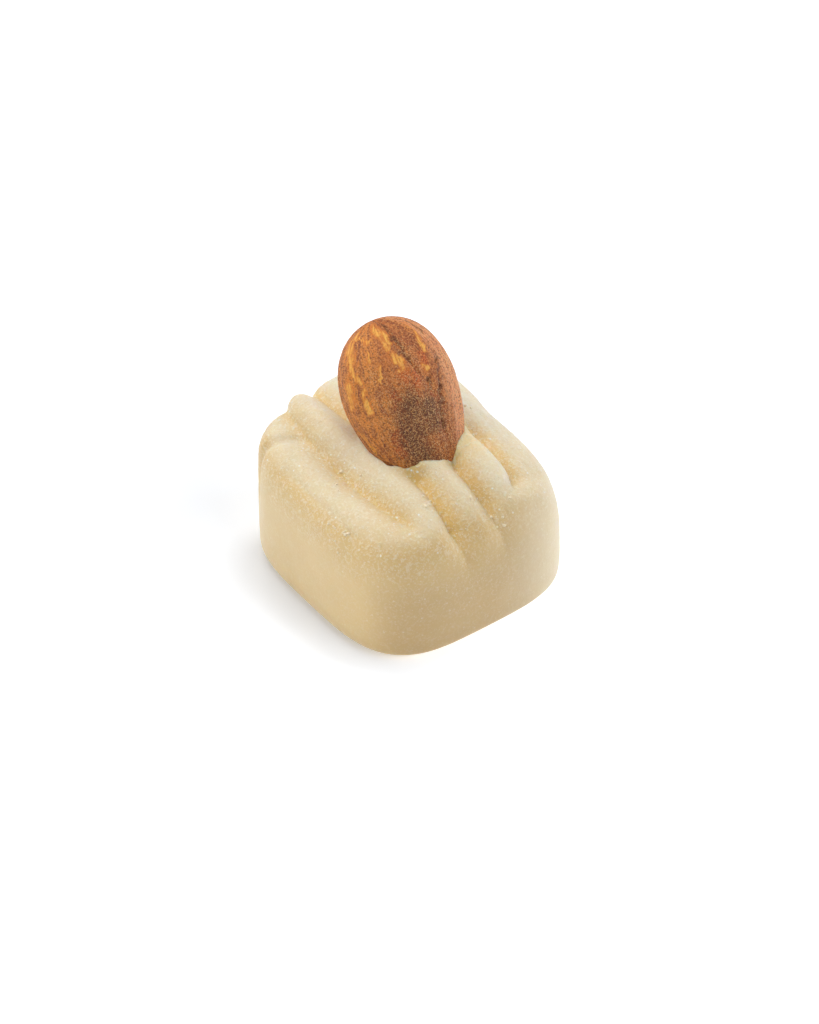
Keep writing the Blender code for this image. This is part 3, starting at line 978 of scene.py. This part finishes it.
def marzipan_material():
    material, tree, shader = new_material("marzipan_paste")
    where = in_millimetres(tree)
    grain = attribute(tree, "grain")
    rough = noise_of_size(tree, where, size=0.28, detail=3.0, roughness=0.65)
    sugar_and_sparkle = sugar_and_sparkle_share(tree, where, grain)
    glints = speckles(tree, where, size=0.36, share=0.045, softness=0.03)
    glints = maths(tree, "MULTIPLY", glints, grain)
    specks_of_skin = ramp(tree, speckles(tree, where, size=1.1, share=0.05), 0.92, 1.0)

    # Painted shade in the grain's pits and painted highlight on its peaks
    colour = grain_shade_and_highlight(tree, paste_colour(tree, where), rough, grain)
    # Sugar white: partly the paste's own sugar, partly painted sparkle
    colour = cover(tree, colour, sugar_and_sparkle, 0.6, SUGAR_AND_SPARKLE_WHITE)
    colour = cover(tree, colour, glints, 0.9, GLINT_WHITE)
    colour = cover(tree, colour, specks_of_skin, 0.35, SPECK_BROWN)
    shine = maths(tree, "ADD", sugar_and_sparkle, glints)
    height = maths(tree, "ADD", rough, maths(tree, "MULTIPLY", sugar_and_sparkle, 0.25))
    strength = maths(tree, "MINIMUM", maths(tree, "MULTIPLY", grain, 0.9), 1.0)
    set_inputs(
        tree,
        shader,
        Base_Color=colour,
        Roughness=ramp(tree, shine, 0.0, 1.0, 0.5, 0.2),
        Subsurface_Weight=0.8,
        Subsurface_Radius=(1.0, 0.75, 0.45),
        Subsurface_Scale=0.5 * MM,
        IOR=1.45,
        Sheen_Weight=0.35,
        Sheen_Roughness=0.45,
        Normal=bump(tree, height, strength, distance=0.16),
    )
    return material


def crumb_material():
    """The paste of a dry crumb, which is too small to let light through."""
    material, tree, shader = new_material("marzipan_crumb")
    patches = noise_of_size(tree, in_millimetres(tree), size=0.12)
    colour = mix_colour(tree, patches, CRUMB_DARK, CRUMB_LIGHT)
    set_inputs(tree, shader, Base_Color=colour, Roughness=0.5, Sheen_Weight=0.3)
    return material


def skin_patterns(tree):
    """Streaks along the almond, fine and broad, and shorter blotches, powder and grit."""
    where = in_millimetres(tree)
    skin = attribute(tree, "skin", "Vector")
    streaks = add_node(tree, "Mapping", Vector=skin, Scale=(1.0, 1.0, 0.2)).outputs["Vector"]
    short_streaks = add_node(tree, "Mapping", Vector=skin, Scale=(1.0, 1.0, 0.45)).outputs["Vector"]
    return SkinPatterns(
        fine=noise_of_size(tree, streaks, size=0.3, detail=4.0, roughness=0.75),
        broad=noise_of_size(tree, streaks, size=1.4, detail=3.0, roughness=0.6),
        blotches=noise_of_size(tree, short_streaks, size=0.8, detail=5.0, roughness=0.75),
        powder=noise_of_size(tree, where, size=0.2, detail=2.0, roughness=0.7),
        grit=noise_of_size(tree, where, size=0.13, detail=2.0, roughness=0.7),
    )


def skin_colour(tree, skin):
    """Brown, with an orange left side of painted light, a pinkish right side, red marks and dark streaks.
    """
    brown = mix_colour(tree, ramp(tree, skin.broad, 0.3, 0.7), BROWN_DARK, BROWN_LIGHT)
    brown = mix_colour(tree, ramp(tree, skin.blotches, 0.45, 0.62, 0.0, 0.6), brown, BROWN_BLOTCH)
    # Painted light on the left side: lighter and more orange
    orange = mix_colour(tree, ramp(tree, skin.blotches, 0.38, 0.6), LIT_ORANGE_DARK, LIT_ORANGE_LIGHT)
    pink = mix_colour(tree, ramp(tree, skin.fine, 0.35, 0.65), PINK_DARK, PINK_LIGHT)
    colour = mix_colour(tree, attribute(tree, "left"), brown, orange)
    colour = mix_colour(tree, attribute(tree, "right"), colour, pink)
    colour = mix_colour(tree, ragged(tree, "red", skin.blotches, 0.1, 0.9, 0.85), colour, MARK_RED)
    return mix_colour(tree, ramp(tree, skin.fine, 0.46, 0.28, 0.0, 0.6), colour, STREAK_DARK)


def marked(tree, skin, colour, rubbed):
    """A colour with the stain, creases and pits, painted gap shade, peel, and rubbed marks, orange
    outside, golden inside.
    """
    colour = mix_colour(tree, ragged(tree, "stained", skin.fine, -0.1, 1.2, 0.85), colour, STAIN_DARK)
    colour = cover(tree, colour, rubbed, 0.8, RUBBED_ORANGE)
    gold = mix_colour(tree, ramp(tree, skin.fine, 0.35, 0.55), RUBBED_DARK, RUBBED_LIGHT)
    broken = mix_colour(tree, 0.5, skin.blotches, skin.fine)
    colour = mix_colour(tree, ragged(tree, "rubbed", broken, 0.55, 1.1), colour, gold)
    # Creases and pits, and painted shade along the seat's gap
    colour = mix_colour(tree, ragged(tree, "crease_and_gap_shade", skin.powder, 0.3, 1.0, 0.8), colour, CREASE_AND_GAP_SHADE)
    return mix_colour(tree, ramp(tree, attribute(tree, "peeled"), 0.3, 0.6), colour, PEEL_GOLD)


def powdered(tree, skin, colour, rubbed):
    """A colour with fine dark and light grains over it, fewer where the skin is rubbed."""
    unrubbed = ramp(tree, rubbed, 0.0, 1.0, 1.0, 0.3)
    dark = maths(tree, "MULTIPLY", ramp(tree, skin.powder, 0.5, 0.3, 0.0, 0.85), unrubbed)
    colour = mix_colour(tree, dark, colour, POWDER_DARK)
    light = maths(tree, "MULTIPLY", ramp(tree, skin.powder, 0.52, 0.68, 0.0, 0.6), unrubbed)
    return mix_colour(tree, light, colour, POWDER_LIGHT)


def almond_material():
    material, tree, shader = new_material("almond_skin")
    skin = skin_patterns(tree)
    rubbed = ragged(tree, "rubbed", skin.blotches, 0.15, 0.75)
    dusty = ramp(tree, attribute(tree, "dusty"), 0.0, 1.0, 0.2, 0.8)
    dust = maths(tree, "MULTIPLY", ramp(tree, skin.grit, 0.55, 0.62), dusty)

    colour = marked(tree, skin, skin_colour(tree, skin), rubbed)
    colour = powdered(tree, skin, colour, rubbed)
    colour = mix_colour(tree, dust, colour, DUST_LIGHT)
    height = maths(tree, "ADD", skin.fine, maths(tree, "MULTIPLY", skin.powder, 0.8))
    height = maths(tree, "ADD", height, maths(tree, "MULTIPLY", dust, 0.3))
    bumpy = bump(tree, height, strength=0.8, distance=0.14)
    set_inputs(tree, shader, Base_Color=colour, Roughness=0.6, Normal=bumpy)
    return material


def floor_material():
    material, tree, shader = new_material("white_floor")
    set_inputs(
        tree,
        shader,
        Base_Color=FLOOR_WHITE,
        Emission_Color=FLOOR_GLOW,
        Emission_Strength=FLOOR_GLOW_STRENGTH,
        Roughness=0.9,
        Specular_IOR_Level=0.0,
    )
    return material


# ----------------------------------------------------------------------------------------- stage

def add_floor(collection):
    points = np.array([[-1.0, -1.0, 0.0], [1.0, -1.0, 0.0], [1.0, 1.0, 0.0], [-1.0, 1.0, 0.0]])
    mesh = make_mesh("floor", points * FLOOR_HALF_SIZE / MM, [(0, 1, 2, 3)])
    floor = add_object("floor", mesh, floor_material(), collection)
    floor.location.z = -FLOOR_DROP


def direction(azimuth, elevation):
    """The unit vector towards a place seen at that azimuth and elevation."""
    return Vector((
        math.sin(azimuth) * math.cos(elevation),
        -math.cos(azimuth) * math.cos(elevation),
        math.sin(elevation),
    ))


def add_light(light, collection):
    """A soft box that lights only what is in the collection."""
    data = bpy.data.lights.new(light.name, "AREA")
    data.shape = "RECTANGLE"
    data.size = light.size
    data.size_y = light.size
    data.energy = light.power
    towards = direction(math.radians(light.azimuth), math.radians(light.elevation))
    item = bpy.data.objects.new(light.name, data)
    item.location = towards * LIGHT_DISTANCE
    item.rotation_mode = "QUATERNION"
    item.rotation_quaternion = towards.to_track_quat("Z", "Y")
    item.light_linking.receiver_collection = collection
    bpy.context.collection.objects.link(item)


def light_scene(sweet, stage):
    world = bpy.data.worlds.new("studio")
    world.use_nodes = True
    background = world.node_tree.nodes["Background"]
    set_inputs(world.node_tree, background, Color=(1.0, 1.0, 1.0, 1.0), Strength=WORLD_STRENGTH)
    bpy.context.scene.world = world
    for lights, collection in ((FLOOR_LIGHTS, stage), (SWEET_LIGHTS, sweet)):
        for light in lights:
            add_light(light, collection)


def add_camera():
    data = bpy.data.cameras.new("camera")
    data.sensor_width = SENSOR_WIDTH
    data.lens = SENSOR_WIDTH * PIXELS_DISTANCE / FRAME_HEIGHT
    data.clip_start = CAMERA_CLIP_START
    data.shift_x = (0.5 * FRAME_WIDTH - BASE_PIXEL[0]) / FRAME_HEIGHT
    data.shift_y = (BASE_PIXEL[1] - 0.5 * FRAME_HEIGHT) / FRAME_HEIGHT
    back = direction(CAMERA_AZIMUTH, CAMERA_ELEVATION)
    camera = bpy.data.objects.new("camera", data)
    camera.location = back * CAMERA_DISTANCE
    camera.rotation_mode = "QUATERNION"
    camera.rotation_quaternion = back.to_track_quat("Z", "Y")
    bpy.context.collection.objects.link(camera)
    bpy.context.scene.camera = camera


def main():
    sweet = add_collection("sweet")
    stage = add_collection("stage")
    add_camera()
    bpy.context.scene.view_settings.view_transform = "Standard"
    light_scene(sweet, stage)
    add_floor(stage)

    block = add_object("marzipan_body", block_mesh(), marzipan_material(), sweet)
    press_seat(block)
    crumbs = add_object("marzipan_crumbs", crumbs_mesh(block.data), crumb_material(), sweet)
    almond = add_object("almond_kernel", almond_mesh(), almond_material(), sweet)
    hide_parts("marzipan")
    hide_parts("almond")
    for piece, slot in ((block, "marzipan"), (crumbs, "marzipan"), (almond, "almond_skin")):
        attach(piece, "root")


main()
